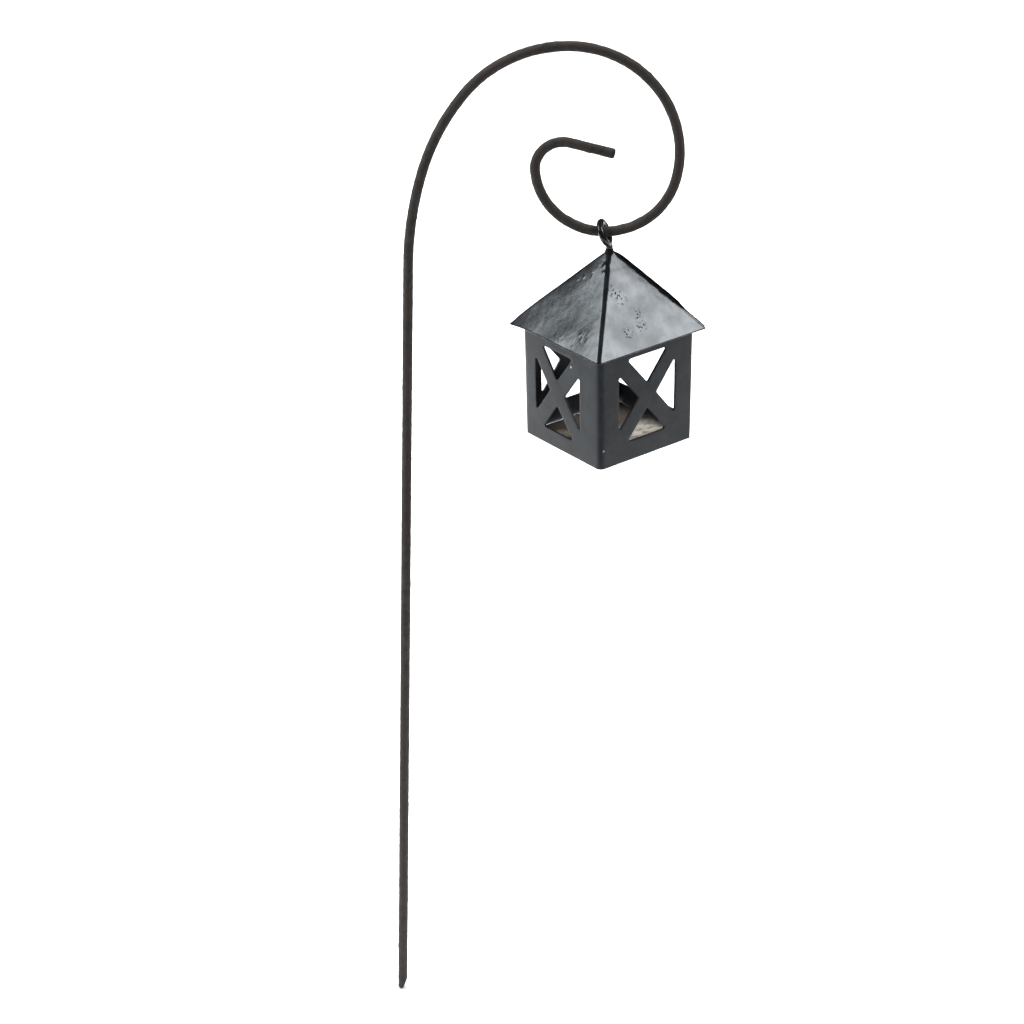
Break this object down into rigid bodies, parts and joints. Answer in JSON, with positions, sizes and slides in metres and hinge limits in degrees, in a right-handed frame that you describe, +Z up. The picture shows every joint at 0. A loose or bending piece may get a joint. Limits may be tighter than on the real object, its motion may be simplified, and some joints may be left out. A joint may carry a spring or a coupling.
{
  "type": "miniature hanging lantern on a crook stake",
  "caption": "Small black sheet-metal lantern with X-pattern windows and a pyramid roof, hung by a wire eye from a round-wire crook that pushes into soil.",
  "frame": {"origin": "tip of the stake, where the soil holds it", "axes": "+Z up the stake, +X towards the side the lantern hangs on; the crook lies in the XZ plane"},
  "size_m": [0.0699, 0.041, 0.2295],
  "materials": {
    "rod_finish": "rough dark grey-brown blackened steel wire, matte",
    "black_enamel": "hand-sprayed black enamel, satin to gloss, with small lumps and pits",
    "bare_sheet": "unpainted dull tinned sheet with a faint grain",
    "solder": "dull grey soft solder, partly over-sprayed with black"
  },
  "bodies": {
    "crook": {"crook_stake": "rod_finish"},
    "lantern": {"hanging_eye": "black_enamel", "apex_solder": "black_enamel", "roof_shell": "black_enamel", "roof_seam_solder": "black_enamel", "body_wrap": "black_enamel", "body_seam_solder": "solder", "floor_plate": "bare_sheet", "floor_tack_right": "solder", "floor_tack_front": "solder", "floor_tack_left": "solder", "floor_tack_back": "solder", "roof_tack_right": "solder", "roof_tack_front": "solder", "roof_tack_left": "solder", "roof_tack_back": "solder"}
  },
  "joints": [
    {"name": "lantern_swing", "type": "hinge", "parent": "crook", "child": "lantern", "pos_m": [0.04839, 0, 0.18881], "axis": [1, 0, 0], "range_deg": [-90, 90]}
  ]
}
